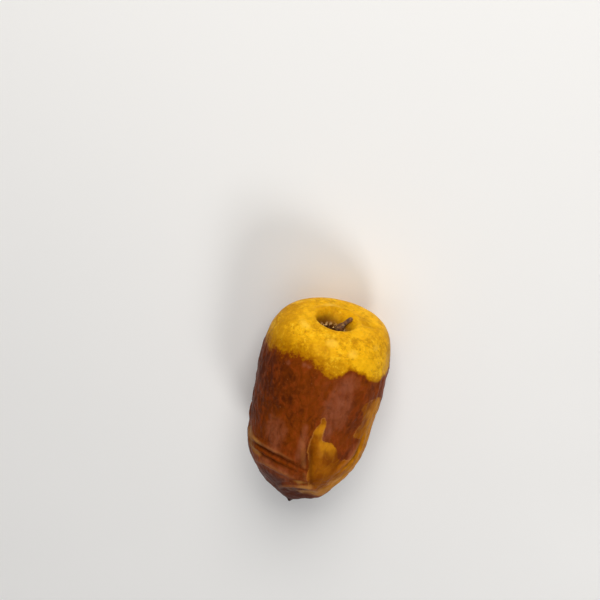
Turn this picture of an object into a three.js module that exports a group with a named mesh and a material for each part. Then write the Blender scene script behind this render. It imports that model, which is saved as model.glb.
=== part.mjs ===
// A saidi date lying on its side: the fruit, with its yellow stalk end, brown wrinkled tip end,
// stalk socket, skin folds and nib, and the dried scrap of stalk that is left in the socket.
// Millimetres, +Z up. The stalk end faces -Y and the tip points to +Y.
// The origin is under the middle of the date, on the surface that it lies on.
//
// A place on the skin is given by two numbers: "along", in mm from the stalk pole measured
// on the bare skin, and "round", in degrees from the top of the fruit, growing towards -X.

import * as THREE from 'three';
import { mergeVertices } from 'three/addons/utils/BufferGeometryUtils.js';

// Driving sizes of the barrel
const FRUIT_LENGTH = 40.6;
const FRUIT_RADIUS = 12.0;
const HEIGHT_SHARE = 0.95;
const TIP_STARTS_AT = 0.68;
const STALK_END_SQUARENESS = 4.8;
const TIP_ROUNDING_ALONG = 1.55;
const TIP_ROUNDING_ACROSS = 2.2;
const TAPER = 0.2;
const BOW = 0.35;
const SWAY = -2.4;

// How it lies: turned about X and Y until it balances, then flattened where it touches
const REST_PITCH = -1.3;
const REST_ROLL = 0;
const FLAT_SPOT_DEPTH = 0.25;
const FLAT_SPOT_ALONG = 27;
const CALM_RADIUS = 7;

// Stalk socket: a pit in the stalk face a little above its middle, steep on its upper left and
// gentle on its lower right
const SOCKET_UP = 0.6;
const SOCKET_DEPTH = 2.7;
const SOCKET_RIM = 4.05;
const SOCKET_FLOOR = 2.0;
const SOCKET_FLOOR_SHIFT = 0.85;
const SOCKET_STEEP_AT = -35;
const SOCKET_LIP = 0.22;
const LIP_OUTSIDE_RIM = 0.5;
const LIP_WIDTH = 0.8;
const FACE_DISH = 0.45;
const FACE_DISH_RADIUS = 7;

// Nib: the dry point where the flower was, a little above the tip pole
const NIB_UP = 3.2;
const NIB_HEIGHT = 0.9;
const NIB_RADIUS = 0.55;
const NIB_SKIRT_HEIGHT = 0.82;
const NIB_SKIRT_RADIUS = 2.2;

// Flesh that has sunk unevenly while it dried
const SLUMP = 0.16;
const SLUMP_FROM = 13;
const SLUMP_FULL = 22;
const SLUMP_FADES_FROM = 44;
const SLUMP_GONE_AT = 52;

// Mesh: cells across a quarter of the fruit, caps round both poles, and rows between the caps
const CELLS_QUARTER = 24;
const STALK_CAP = 6.6;
const TIP_CAP = 4.8;
const WALL_CROWDING = 0.4;
const TINY = 1e-6;
const ROW_BANDS = [
  { to: 14, step: 0.95 },
  { to: 32, step: 1.13 },
  { to: 60, step: 0.72 },
];

const DEGREE = Math.PI / 180;
const MERIDIAN_STEPS = 2000;
const FOLD_STEPS = 14;
const FOLD_REACH = 3.2;

// Skin folds. A positive height is a ridge with a shallow trough on each side, a negative one is
// a groove between two low ridges. A step lifts the skin on the side where "round" is higher.
const FOLDS = [
  {
    name: 'amber panel edge',
    from: [29, 2.5], via: [36, 6], to: [42.3, 17], width: 0.75, height: -0.24, step: 0.3,
  },
  {
    name: 'pale ridge beside it',
    from: [24.5, -8], via: [30, -4.5], to: [36, 1], width: 0.8, height: 0.13, step: 0,
  },
  {
    name: 'first ring ridge',
    from: [36.9, -68], via: [34.2, -36], to: [35.3, -2], width: 0.7, height: 0.24, step: 0,
  },
  {
    name: 'first ring groove',
    from: [37.7, -68], via: [34.9, -26], to: [37.2, 9], width: 0.7, height: -0.34, step: 0,
  },
  {
    name: 'second ring groove',
    from: [39, -64], via: [36.8, -28], to: [38, 4], width: 0.7, height: -0.32, step: 0,
  },
  {
    name: 'second ring ridge',
    from: [41.2, -58], via: [37.8, -28], to: [40.2, 4], width: 0.8, height: 0.3, step: 0,
  },
  {
    name: 'pucker above the nib',
    from: [48.3, -26], via: [36, 2], to: [48.5, 50], width: 0.95, height: 0.36, step: 0,
  },
  {
    name: 'right fold',
    from: [29, 57], via: [34.5, 56], to: [38.5, 32], width: 0.8, height: 0.3, step: 0,
  },
  {
    name: 'right groove',
    from: [29.5, 62], via: [36.5, 63], to: [36.8, 40], width: 0.75, height: -0.28, step: 0,
  },
  {
    name: 'left ripple',
    from: [28.6, -46], via: [27.8, -34], to: [27, -22], width: 0.7, height: 0.11, step: 0,
  },
  {
    name: 'flank line',
    from: [14.5, 63], via: [18, 61], to: [24, 64], width: 0.7, height: 0.14, step: 0,
  },
  {
    name: 'dimple by the socket',
    from: [4.6, 90], via: [5.6, 96], to: [7.6, 91], width: 1, height: -0.26, step: 0,
  },
];

// Sunken places in the skin: their middle, their half sizes in mm along and round, and depth.
// A negative depth is a swelling.
const HOLLOWS = [
  { name: 'hollow above the nib', at: [46.8, -4], reach: [3, 5], depth: 0.5 },
  { name: 'left cheek', at: [28, -34], reach: [7, 5], depth: 0.3 },
  { name: 'right cheek', at: [28, 38], reach: [5, 4], depth: 0.28 },
  { name: 'flat of the upper side', at: [20, 12], reach: [7, 3.5], depth: 0.2 },
  { name: 'right flank', at: [31, 122], reach: [8, 5], depth: 0.35 },
  { name: 'left flank', at: [27, -118], reach: [8, 5], depth: 0.35 },
  { name: 'knuckle by the nib', at: [47.5, 44], reach: [3, 3.2], depth: -0.78 },
  { name: 'right tip chamfer', at: [43.5, 44], reach: [3.2, 3], depth: 0.5 },
  { name: 'right shoulder', at: [10, 128], reach: [4, 5], depth: -0.25 },
  { name: 'right of the yellow end', at: [15, 80], reach: [5, 4], depth: 0.33 },
  { name: 'left of the yellow end', at: [18, -84], reach: [3.5, 4], depth: 0.12 },
  { name: 'left side', at: [33, -76], reach: [6, 4], depth: 0.14 },
];

// Long wrinkles on the sides that face down and away, spread by even steps with a drift. Where
// wrinkles cross, their height together stays under a limit.
const WRINKLES_FROM = 96;
const WRINKLES_SPAN = 168;
const WRINKLE_LIMIT = 0.55;
const LONG_WRINKLE = {
  count: 12, start: 16, startSpread: 10, end: 34, endSpread: 12, drift: 34, bend: 1.2,
  width: 0.8, widthSpread: 0.4, height: 0.3, heightSpread: 0.3, step: 0.2,
};
const CROSS_WRINKLE = {
  count: 13, start: 21, startSpread: 22, slant: 5, bendAt: 14, endAt: 26,
  width: 0.75, height: 0.24, heightSpread: 0.18,
};

function fraction(index, stride) {
  return (index * stride) % 1;
}

function longWrinkles() {
  const kind = LONG_WRINKLE;
  const list = [];
  for (let i = 0; i < kind.count; i += 1) {
    const round = WRINKLES_FROM + (WRINKLES_SPAN * (i + 0.5)) / kind.count;
    const start = kind.start + kind.startSpread * fraction(i, 0.618);
    const end = kind.end + kind.endSpread * fraction(i, 0.382);
    const drift = kind.drift * (fraction(i, 0.271) - 0.5);
    list.push({
      from: [start, round + drift],
      via: [(start + end) / 2, round - kind.bend * drift],
      to: [end, round + drift / 2],
      width: kind.width + kind.widthSpread * fraction(i, 0.447),
      height: kind.height + kind.heightSpread * fraction(i, 0.557),
      step: kind.step * (fraction(i, 0.731) - 0.5),
    });
  }
  return list;
}

// Short wrinkles that run slanting from one long wrinkle to the next
function crossWrinkles() {
  const kind = CROSS_WRINKLE;
  const list = [];
  for (let i = 0; i < kind.count; i += 1) {
    const round = WRINKLES_FROM + (WRINKLES_SPAN * (i + 0.3)) / kind.count;
    const start = kind.start + kind.startSpread * fraction(i, 0.618);
    const slant = kind.slant * (fraction(i, 0.414) - 0.3);
    list.push({
      from: [start, round],
      via: [start + slant, round + kind.bendAt],
      to: [start + 1.5 * slant, round + kind.endAt],
      width: kind.width,
      height: kind.height + kind.heightSpread * fraction(i, 0.872),
      step: 0,
    });
  }
  return list;
}

const { clamp, lerp, smoothstep } = THREE.MathUtils;
const bell = (distance) => Math.exp(-distance * distance);

// Half width of the bare fruit at a distance from the stalk face
function barrelRadius(y) {
  const middle = TIP_STARTS_AT * FRUIT_LENGTH;
  const stalkSide = y < middle;
  const reach = stalkSide ? (middle - y) / middle : (y - middle) / (FRUIT_LENGTH - middle);
  const along = stalkSide ? STALK_END_SQUARENESS : TIP_ROUNDING_ALONG;
  const across = stalkSide ? STALK_END_SQUARENESS : TIP_ROUNDING_ACROSS;
  const full = FRUIT_RADIUS * Math.max(0, 1 - reach ** along) ** (1 / across);
  return full * (1 - TAPER * (y / FRUIT_LENGTH - 0.5));
}

// Radius and y against the length of skin from the stalk pole. The steps crowd towards the
// flat stalk face, where the radius grows fastest, and towards the tip.
function makeMeridian() {
  const rows = [{ along: 0, radius: 0, y: 0 }];
  for (let i = 1; i <= MERIDIAN_STEPS; i += 1) {
    const share = i / MERIDIAN_STEPS;
    const y = FRUIT_LENGTH * (share < 0.5 ? 0.5 * (2 * share) ** 8 : 1 - 0.5 * (2 - 2 * share) ** 2);
    const radius = i === MERIDIAN_STEPS ? 0 : barrelRadius(y);
    const last = rows[rows.length - 1];
    rows.push({ along: last.along + Math.hypot(radius - last.radius, y - last.y), radius, y });
  }
  return rows;
}

const meridian = makeMeridian();
const skinLength = meridian[MERIDIAN_STEPS].along;

// Radius, y and outward direction of the bare skin at one "along"
function meridianAt(along) {
  const wanted = clamp(along, 0, skinLength);
  let low = 0;
  let high = MERIDIAN_STEPS;
  while (high - low > 1) {
    const middle = (low + high) >> 1;
    if (meridian[middle].along <= wanted) low = middle;
    else high = middle;
  }
  const a = meridian[low];
  const b = meridian[high];
  const span = b.along - a.along;
  const share = (wanted - a.along) / span;
  return {
    radius: lerp(a.radius, b.radius, share),
    y: lerp(a.y, b.y, share),
    outRadial: (b.y - a.y) / span,
    outAxial: (a.radius - b.radius) / span,
  };
}

function bareSkin(along, round) {
  const at = meridianAt(along);
  const angle = round * DEGREE;
  const share = at.y / FRUIT_LENGTH - 0.5;
  const shift = BOW * (share * share - 0.083) + SWAY * share ** 3;
  return {
    point: new THREE.Vector3(
      -at.radius * Math.sin(angle) - shift,
      at.y - FRUIT_LENGTH / 2,
      at.radius * Math.cos(angle) * HEIGHT_SHARE,
    ),
    outward: new THREE.Vector3(
      -at.outRadial * Math.sin(angle),
      at.outAxial,
      at.outRadial * Math.cos(angle),
    ),
    radius: at.radius,
  };
}

// A fold's route over the bare skin, as short straight pieces along a bent line
function foldRoute(fold) {
  const route = [];
  for (let i = 0; i <= FOLD_STEPS; i += 1) {
    const t = i / FOLD_STEPS;
    const [along, round] = [0, 1].map((k) => (
      (1 - t) ** 2 * fold.from[k] + 2 * t * (1 - t) * fold.via[k] + t * t * fold.to[k]
    ));
    route.push(bareSkin(along, round));
  }
  return { ...fold, route };
}

const folds = FOLDS.map(foldRoute);
const wrinkles = [...longWrinkles(), ...crossWrinkles()].map(foldRoute);
const foldPiece = new THREE.Line3();
const nearest = new THREE.Vector3();
const sideways = new THREE.Vector3();

// Height that one fold gives the skin at a bare point: it fades out at both of its ends
function foldHeight(fold, point) {
  let best = FOLD_REACH * fold.width;
  let height = 0;
  for (let i = 0; i < FOLD_STEPS; i += 1) {
    foldPiece.set(fold.route[i].point, fold.route[i + 1].point);
    const share = foldPiece.closestPointToPointParameter(point, true);
    foldPiece.at(share, nearest);
    const distance = nearest.distanceTo(point);
    if (distance < best) {
      best = distance;
      const fade = Math.sin((Math.PI * (i + share)) / FOLD_STEPS) ** 0.6;
      const scaled = distance / fold.width;
      foldPiece.delta(sideways).cross(fold.route[i].outward);
      const side = Math.sign(sideways.dot(nearest.subVectors(point, nearest)));
      const ridge = fold.height * (1 - 1.1 * scaled * scaled) * bell(scaled);
      const step = fold.step * side * Math.tanh(2 * scaled) * bell(scaled / 1.6);
      height = fade * (ridge + step);
    }
  }
  return height;
}

// Everything that raises or sinks the skin outside the socket and the nib
function relief(along, round, bare) {
  let height = 0;
  for (const fold of folds) height += foldHeight(fold, bare.point);
  let crossing = 0;
  for (const wrinkle of wrinkles) crossing += foldHeight(wrinkle, bare.point);
  height += WRINKLE_LIMIT * Math.tanh(crossing / WRINKLE_LIMIT);
  for (const hollow of HOLLOWS) {
    const turn = THREE.MathUtils.euclideanModulo(round - hollow.at[1] + 180, 360) - 180;
    const acrossSkin = turn * DEGREE * bare.radius;
    const reach = Math.hypot((along - hollow.at[0]) / hollow.reach[0], acrossSkin / hollow.reach[1]);
    height -= hollow.depth * bell(reach);
  }
  const angle = round * DEGREE;
  const dried = smoothstep(along, SLUMP_FROM, SLUMP_FULL)
    * (1 - smoothstep(along, SLUMP_FADES_FROM, SLUMP_GONE_AT));
  height += dried * SLUMP * Math.sin(0.42 * along + 2 * angle) * Math.sin(0.23 * along - 3 * angle + 1);
  return height;
}

// Depth of the pit and the dished face round it, across and up from the stalk pole
function socketDepth(across, up) {
  const above = up - SOCKET_UP;
  const radius = Math.hypot(across, above);
  const steep = Math.cos(Math.atan2(across, above) - SOCKET_STEEP_AT * DEGREE);
  const floor = SOCKET_FLOOR + SOCKET_FLOOR_SHIFT * steep;
  const down = clamp((SOCKET_RIM - radius) / (SOCKET_RIM - floor), 0, 1);
  const sharp = Math.sin((down * Math.PI) / 2);
  const soft = smoothstep(down, 0, 1);
  const pit = SOCKET_DEPTH * lerp(soft, sharp, 0.5 + 0.5 * steep);
  const lip = SOCKET_LIP * bell((radius - SOCKET_RIM - LIP_OUTSIDE_RIM) / LIP_WIDTH);
  return pit - lip + FACE_DISH * bell(radius / FACE_DISH_RADIUS);
}

function nibHeight(across, up) {
  const distance = Math.hypot(across, up - NIB_UP);
  return NIB_HEIGHT * bell(distance / NIB_RADIUS) + NIB_SKIRT_HEIGHT * bell(distance / NIB_SKIRT_RADIUS);
}

function skinPoint(along, round) {
  const bare = bareSkin(along, round);
  const touch = bareSkin(FLAT_SPOT_ALONG, 180).point;
  const calm = 1 - bell(bare.point.distanceTo(touch) / CALM_RADIUS);
  const point = bare.point.clone().addScaledVector(bare.outward, calm * relief(along, round, bare));
  const across = bare.radius * Math.sin(round * DEGREE);
  const up = bare.radius * Math.cos(round * DEGREE);
  if (along < skinLength / 3) point.y += socketDepth(across, up);
  if (along > (2 * skinLength) / 3) point.y += nibHeight(across, up);
  return point;
}

// How "along" grows down the rows of cells between the two caps
function rowPlaces() {
  const places = [STALK_CAP];
  const end = skinLength - TIP_CAP;
  for (const band of ROW_BANDS) {
    const stretch = Math.min(band.to, end) - places[places.length - 1];
    const count = Math.round(stretch / band.step);
    const start = places[places.length - 1];
    for (let i = 1; i <= count; i += 1) places.push(start + (stretch * i) / count);
  }
  return places;
}

// Rings of the stalk cap crowd on the wall of the socket
function stalkCapPlace(reach) {
  return STALK_CAP * (reach + (WALL_CROWDING * Math.sin(2 * Math.PI * reach)) / (2 * Math.PI));
}

// Where a point on the edge of a square stands round it, in quarter turns from its upper side
function quarterTurns(across, up) {
  if (up >= Math.abs(across)) return across / up / 2;
  if (across >= Math.abs(up)) return 1 - up / across / 2;
  if (-up >= Math.abs(across)) return 2 + across / up / 2;
  return -1 - up / across / 2;
}

// The fruit starts as a box of cells. Its two end faces become the round caps at the poles,
// its four sides the barrel, and each corner of a cell moves to its place on the skin.
function makeFruit() {
  const rows = rowPlaces();
  const box = new THREE.BoxGeometry(2, 2, 2, CELLS_QUARTER, rows.length - 1, CELLS_QUARTER);
  box.deleteAttribute('normal');
  box.deleteAttribute('uv');
  const skin = mergeVertices(box);
  const corners = skin.getAttribute('position');
  const corner = new THREE.Vector3();
  for (let i = 0; i < corners.count; i += 1) {
    corner.fromBufferAttribute(corners, i);
    const reach = Math.max(Math.abs(corner.x), Math.abs(corner.z));
    const round = reach < TINY ? 0 : quarterTurns(-corner.x / reach, corner.z / reach) * 90;
    let along = rows[Math.round(((corner.y + 1) / 2) * (rows.length - 1))];
    if (corner.y < TINY - 1) along = stalkCapPlace(reach);
    if (corner.y > 1 - TINY) along = skinLength - TIP_CAP * reach;
    const place = skinPoint(along, round);
    corners.setXYZ(i, place.x, place.y, place.z);
  }
  return skin;
}

// The scrap of stalk: a short bent fibre that leans out of the socket from a crumbled root
const SCRAP_ROOT = { across: 0.9, up: 0.8 };
const SCRAP_END = { across: 3.1, up: -1.2 };
const SCRAP_CLEARANCE = 0.63;
const SCRAP_END_BELOW_FACE = 0.2;
const SCRAP_ROOT_RADIUS = 0.95;
const SCRAP_END_RADIUS = 0.36;
const SCRAP_SIDES = 10;
const SCRAP_RINGS = 9;

function makeScrap() {
  const floorDepth = socketDepth(SCRAP_ROOT.across, SCRAP_ROOT.up);
  const faceY = -FRUIT_LENGTH / 2;
  const root = new THREE.Vector3(
    -SCRAP_ROOT.across,
    faceY + floorDepth - SCRAP_CLEARANCE,
    SCRAP_ROOT.up,
  );
  const end = new THREE.Vector3(-SCRAP_END.across, faceY + SCRAP_END_BELOW_FACE, SCRAP_END.up);
  const bend = root.clone().lerp(end, 0.4).add(new THREE.Vector3(0, -0.7, 0.3));
  const spine = new THREE.QuadraticBezierCurve3(root, bend, end);
  const tube = new THREE.SphereGeometry(1, SCRAP_SIDES, SCRAP_RINGS);
  tube.deleteAttribute('normal');
  tube.deleteAttribute('uv');
  const scrap = mergeVertices(tube);
  const corners = scrap.getAttribute('position');
  const corner = new THREE.Vector3();
  const place = new THREE.Vector3();
  const facing = new THREE.Quaternion();
  const pole = new THREE.Vector3(0, 1, 0);
  for (let i = 0; i < corners.count; i += 1) {
    corner.fromBufferAttribute(corners, i);
    const t = (1 - corner.y) / 2;
    const turn = Math.atan2(corner.x, corner.z);
    const lump = 1 + 0.22 * Math.sin(3 * turn + 5 * t) + 0.12 * Math.sin(5 * turn - 7 * t);
    const thick = lerp(SCRAP_ROOT_RADIUS, SCRAP_END_RADIUS, smoothstep(t, 0, 0.6)) * lump;
    const round = Math.sqrt(Math.max(0, 1 - corner.y ** 8));
    spine.getPoint(t, place);
    facing.setFromUnitVectors(pole, spine.getTangent(t).negate());
    corner.set(Math.sin(turn) * thick * round, 0, Math.cos(turn) * thick * round);
    corner.applyQuaternion(facing);
    place.add(corner);
    corners.setXYZ(i, place.x, place.y, place.z);
  }
  return scrap;
}

const fruitFinish = new THREE.MeshStandardMaterial({ color: 0x8a4a14, roughness: 0.38, metalness: 0 });
const scrapFinish = new THREE.MeshStandardMaterial({ color: 0x4a2a12, roughness: 0.85, metalness: 0 });

// Turn both pieces to the resting balance and flatten what would dip below the surface
const rest = new THREE.Matrix4().makeRotationFromEuler(
  new THREE.Euler(REST_PITCH * DEGREE, REST_ROLL * DEGREE, 0),
);
const fruitSkin = makeFruit().applyMatrix4(rest);
const scrapSkin = makeScrap().applyMatrix4(rest);
fruitSkin.computeBoundingBox();
const bounds = fruitSkin.boundingBox;
const ground = bounds.min.z + FLAT_SPOT_DEPTH;
const origin = new THREE.Vector3(
  (bounds.min.x + bounds.max.x) / 2,
  (bounds.min.y + bounds.max.y) / 2,
  ground,
);
for (const piece of [fruitSkin, scrapSkin]) piece.translate(-origin.x, -origin.y, -origin.z);
const corners = fruitSkin.getAttribute('position');
for (let i = 0; i < corners.count; i += 1) corners.setZ(i, Math.max(0, corners.getZ(i)));

const fruit = new THREE.Mesh(fruitSkin, fruitFinish);
fruit.name = 'date_fruit';
const scrap = new THREE.Mesh(scrapSkin, scrapFinish);
scrap.name = 'stalk_scrap';

const saidiDate = new THREE.Group();
saidiDate.add(fruit, scrap);

export default saidiDate;
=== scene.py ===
"""A saidi date on a pale table: yellow stalk end, wrinkled brown skin, socket, nib and stalk scrap."""
import math

import bmesh
import bpy
import numpy as np
from mathutils import Euler, Matrix, Vector, noise


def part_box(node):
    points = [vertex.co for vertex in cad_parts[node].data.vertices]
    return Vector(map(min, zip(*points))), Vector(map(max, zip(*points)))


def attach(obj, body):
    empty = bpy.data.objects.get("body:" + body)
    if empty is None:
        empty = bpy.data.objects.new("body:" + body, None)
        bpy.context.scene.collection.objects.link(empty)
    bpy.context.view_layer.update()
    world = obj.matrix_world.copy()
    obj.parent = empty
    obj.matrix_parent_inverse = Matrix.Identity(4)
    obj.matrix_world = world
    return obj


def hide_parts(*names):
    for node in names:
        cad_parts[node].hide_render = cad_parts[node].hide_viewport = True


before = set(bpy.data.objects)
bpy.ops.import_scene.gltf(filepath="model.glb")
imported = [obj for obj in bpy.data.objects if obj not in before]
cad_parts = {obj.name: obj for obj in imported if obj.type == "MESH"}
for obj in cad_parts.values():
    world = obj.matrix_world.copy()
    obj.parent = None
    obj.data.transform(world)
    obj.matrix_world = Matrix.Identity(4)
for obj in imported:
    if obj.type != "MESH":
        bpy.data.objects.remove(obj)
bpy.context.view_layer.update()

bl_info = {
    "name": "Saidi date",
    "version": (1, 0, 0),
    "blender": (4, 5, 0),
    "location": "View3D > Sidebar > Date",
    "description": "Adds a half-ripe saidi date, its stalk scrap and a pale table to look at it on",
    "category": "Add Mesh",
}

MM = 0.001
DEGREE = math.pi / 180

# Barrel of the fruit, in mm: the same values as the solid part has
FRUIT_LENGTH = 40.6
FRUIT_RADIUS = 12.0
HEIGHT_SHARE = 0.95
TIP_STARTS_AT = 0.68
STALK_END_SQUARENESS = 4.8
TIP_ROUNDING_ALONG = 1.55
TIP_ROUNDING_ACROSS = 2.2
TAPER = 0.2
BOW = 0.35
SWAY = -2.4

# How it lies: tilt of its axis, its flat spot as mm along the skin, and how far round it forms are calmer
REST_PITCH = -1.3
FLAT_SPOT_ALONG = 27
CALM_RADIUS = 7

# Stalk socket and the face round it
SOCKET_UP = 0.6
SOCKET_DEPTH = 2.7
SOCKET_RIM = 4.05
SOCKET_FLOOR = 2.0
SOCKET_FLOOR_SHIFT = 0.85
SOCKET_STEEP_AT = -35
SOCKET_LIP = 0.22
LIP_OUTSIDE_RIM = 0.5
LIP_WIDTH = 0.8
FACE_DISH = 0.45
FACE_DISH_RADIUS = 7

# Nib
NIB_UP = 3.2
NIB_HEIGHT = 0.9
NIB_RADIUS = 0.55
NIB_SKIRT_HEIGHT = 0.82
NIB_SKIRT_RADIUS = 2.2

# Flesh that has sunk unevenly while it dried
SLUMP = 0.16
SLUMP_FROM = 13
SLUMP_FULL = 22
SLUMP_FADES_FROM = 44
SLUMP_GONE_AT = 52

# Skin folds: start, bend and end as (mm along the skin, degrees round), width, height, step
FOLDS = {
    "amber panel edge": ((29, 2.5), (36, 6), (42.3, 17), 0.75, -0.24, 0.3),
    "pale ridge beside it": ((24.5, -8), (30, -4.5), (36, 1), 0.8, 0.13, 0),
    "first ring ridge": ((36.9, -68), (34.2, -36), (35.3, -2), 0.7, 0.24, 0),
    "first ring groove": ((37.7, -68), (34.9, -26), (37.2, 9), 0.7, -0.34, 0),
    "second ring groove": ((39, -64), (36.8, -28), (38, 4), 0.7, -0.32, 0),
    "second ring ridge": ((41.2, -58), (37.8, -28), (40.2, 4), 0.8, 0.3, 0),
    "pucker above the nib": ((48.3, -26), (36, 2), (48.5, 50), 0.95, 0.36, 0),
    "right fold": ((29, 57), (34.5, 56), (38.5, 32), 0.8, 0.3, 0),
    "right groove": ((29.5, 62), (36.5, 63), (36.8, 40), 0.75, -0.28, 0),
    "left ripple": ((28.6, -46), (27.8, -34), (27, -22), 0.7, 0.11, 0),
    "flank line": ((14.5, 63), (18, 61), (24, 64), 0.7, 0.14, 0),
    "dimple by the socket": ((4.6, 90), (5.6, 96), (7.6, 91), 1, -0.26, 0),
}
FOLD_STEPS = 14
FOLD_REACH = 3.2

# Wrinkles of the sides that face down and away, in mm along the skin and degrees round it
WRINKLES_FROM = 96
WRINKLES_SPAN = 168
WRINKLE_LIMIT = 0.55
LONG_WRINKLE = {
    "count": 12, "start": 16, "start_spread": 10, "end": 34, "end_spread": 12, "drift": 34, "bend": 1.2,
    "width": 0.8, "width_spread": 0.4, "height": 0.3, "height_spread": 0.3, "step": 0.2,
}
CROSS_WRINKLE = {
    "count": 13, "start": 21, "start_spread": 22, "slant": 5, "bend_at": 14, "end_at": 26,
    "width": 0.75, "height": 0.24, "height_spread": 0.18,
}

# Sunken places: middle (mm along, degrees round), half sizes in mm, depth in mm
HOLLOWS = {
    "hollow above the nib": ((46.8, -4), (3, 5), 0.5),
    "left cheek": ((28, -34), (7, 5), 0.3),
    "right cheek": ((28, 38), (5, 4), 0.28),
    "flat of the upper side": ((20, 12), (7, 3.5), 0.2),
    "right flank": ((31, 122), (8, 5), 0.35),
    "left flank": ((27, -118), (8, 5), 0.35),
    "knuckle by the nib": ((47.5, 44), (3, 3.2), -0.78),
    "right tip chamfer": ((43.5, 44), (3.2, 3), 0.5),
    "right shoulder": ((10, 128), (4, 5), -0.25),
    "right of the yellow end": ((15, 80), (5, 4), 0.33),
    "left of the yellow end": ((18, -84), (3.5, 4), 0.12),
    "left side": ((33, -76), (6, 4), 0.14),
}

# Edge of the yellow end: degrees round, mm along the skin, and half of the width that the change takes
YELLOW_EDGE = (
    (-73, 15.2, 2.6), (-57, 14.4, 2.9), (-43, 13.6, 3.4), (-28, 12.5, 3.5), (-15, 12.4, 3.2),
    (-4, 13.5, 2.8), (4, 14.4, 2.0), (11, 15.0, 1.5), (16, 14.6, 1.4), (21, 13.3, 1.3), (27, 13.1, 1.3),
    (35, 14.5, 1.1), (50, 16.0, 1.0), (73, 17.3, 1.2), (100, 15.6, 1.6), (124, 18.2, 1.8), (150, 19.6, 1.4),
    (172, 16.4, 1.8), (200, 18.6, 2.0), (230, 15.4, 2.2), (258, 16.6, 1.9),
)

# Mesh of the fruit: cells round it, rings from pole to pole, and the skin that the crowded rings take
CELLS_ROUND = 360
RINGS = 255
CROWDED_RINGS_SHARE = 0.11
CROWDED_SKIN = 5.2

# Edges of the colours: width in mm of the line where honey-coloured skin begins, how often the corners
# of its outline are cut to round them, and how far unevenness moves each kind of edge
AMBER_EDGE_WIDTH = 1.1
CORNER_CUTS = 2
AMBER_RAGGEDNESS = 0.5
EDGE_RAGGEDNESS = 0.8
PATCH_RAGGEDNESS = 0.55

# Fine creases of the brown skin: how wide they are, how strong on the smoother upper side, and the
# degrees from the top between which they come to full strength
CREASE_SHARE = 0.075
CREASES_ON_TOP = 0.3
CREASED_SIDES = (45, 95)

# Colour in the socket, from where it starts to where it is full: the darkening, the painted shade and the
# torn tissue as shares of the socket's depth, and the painted shade as mm across the steep side of the wall
# The darkening deeper into the socket is partly the wall's own brown and partly painted shade
DARKENED_DEPTH = (0.1, 0.85)
SHADED_DEPTH = (0.02, 0.6)
TORN_DEPTH = (0.6, 0.95)
SHADED_SIDE = (0.6, -2.4)

# Dark crumbs round the root of the stalk scrap: middle as (across, up) and reach, in mm
CRUMBS_AT = (0.9, 0.9)
CRUMBS_REACH = 1.7

# Reach of the dark skin round the nib, in mm
NIB_DARK_REACH = 0.9

# Frayed surface of the stalk scrap: height and size of its lumps, in mm, and cuts of each edge
FRAY_HEIGHT = 0.12
FRAY_SIZE = 0.35
FRAY_CUTS = 3

# Corners closer than this, in metres, are one
MERGE_DISTANCE = 1e-7

# Shades that the patterns of each surface lighten and darken towards, as linear values
SHADES = {
    "light yellow": (0.86, 0.45, 0.008, 1),
    "light mottle": (0.92, 0.50, 0.012, 1),
    "dark stipple": (0.38, 0.155, 0.002, 1),
    "light stipple": (0.95, 0.60, 0.03, 1),
    # Painted glint on the yellow skin
    "painted_glint": (0.98, 0.60, 0.06, 1),
    "pore": (0.26, 0.105, 0.004, 1),
    "light marbling": (0.26, 0.044, 0.0055, 1),
    "dark marbling": (0.072, 0.012, 0.003, 1),
    "fine fleck": (0.30, 0.065, 0.009, 1),
    # Waxy film of the skin, lightened with painted sheen
    "bloom_and_sheen": (0.265, 0.070, 0.027, 1),
    # Pale dot: partly a wart of the skin and partly a painted glint
    "speck_and_glint": (0.40, 0.16, 0.06, 1),
    "light honey": (0.33, 0.095, 0.002, 1),
    "sunlit honey": (0.60, 0.235, 0.006, 1),
    "honey streak": (0.18, 0.040, 0.001, 1),
    "honey marbling": (0.42, 0.14, 0.006, 1),
    # Pale line along the honey skin's edges: partly its paler border and partly painted highlight
    "honey rim and highlight": (0.52, 0.21, 0.04, 1),
    # Tops of folds: thinner skin and painted highlight; feet of folds and creases: painted shade
    "fold top and highlight": (0.42, 0.16, 0.05, 1),
    "painted fold shade": (0.045, 0.009, 0.002, 1),
    "crease": (0.055, 0.011, 0.002, 1),
    "nib": (0.02, 0.006, 0.004, 1),
    # Wall deeper in the socket: its own brown and painted shade
    "socket wall": (0.20, 0.075, 0.004, 1),
    # Painted shade on the socket's steep side
    "shaded wall": (0.15, 0.050, 0.004, 1),
    "dark tissue": (0.06, 0.018, 0.003, 1),
    "pale tissue": (0.74, 0.46, 0.19, 1),
    "dark crumb": (0.030, 0.009, 0.003, 1),
    "light crumb": (0.16, 0.060, 0.018, 1),
    "dark strand": (0.045, 0.013, 0.003, 1),
    "brown strand": (0.19, 0.070, 0.012, 1),
    "pale strand": (0.40, 0.22, 0.06, 1),
    "table": (0.86, 0.86, 0.86, 1),
    "light table": (0.9, 0.9, 0.9, 1),
    "room": (0.93, 0.95, 1, 1),
}

# The camera, as it stands to the fruit's own axis, in mm, degrees and pixels of a square photograph
PHOTO_SIZE = 600
CAMERA_HEIGHT_ANGLE = 60.0
CAMERA_ROLL = 13.16
CAMERA_DISTANCE = 300.0
FOCAL_LENGTH_PIXELS = 1557.0
FRUIT_CENTRE_PIXELS = (313.15, 407.46)
SENSOR = 36.0


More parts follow.
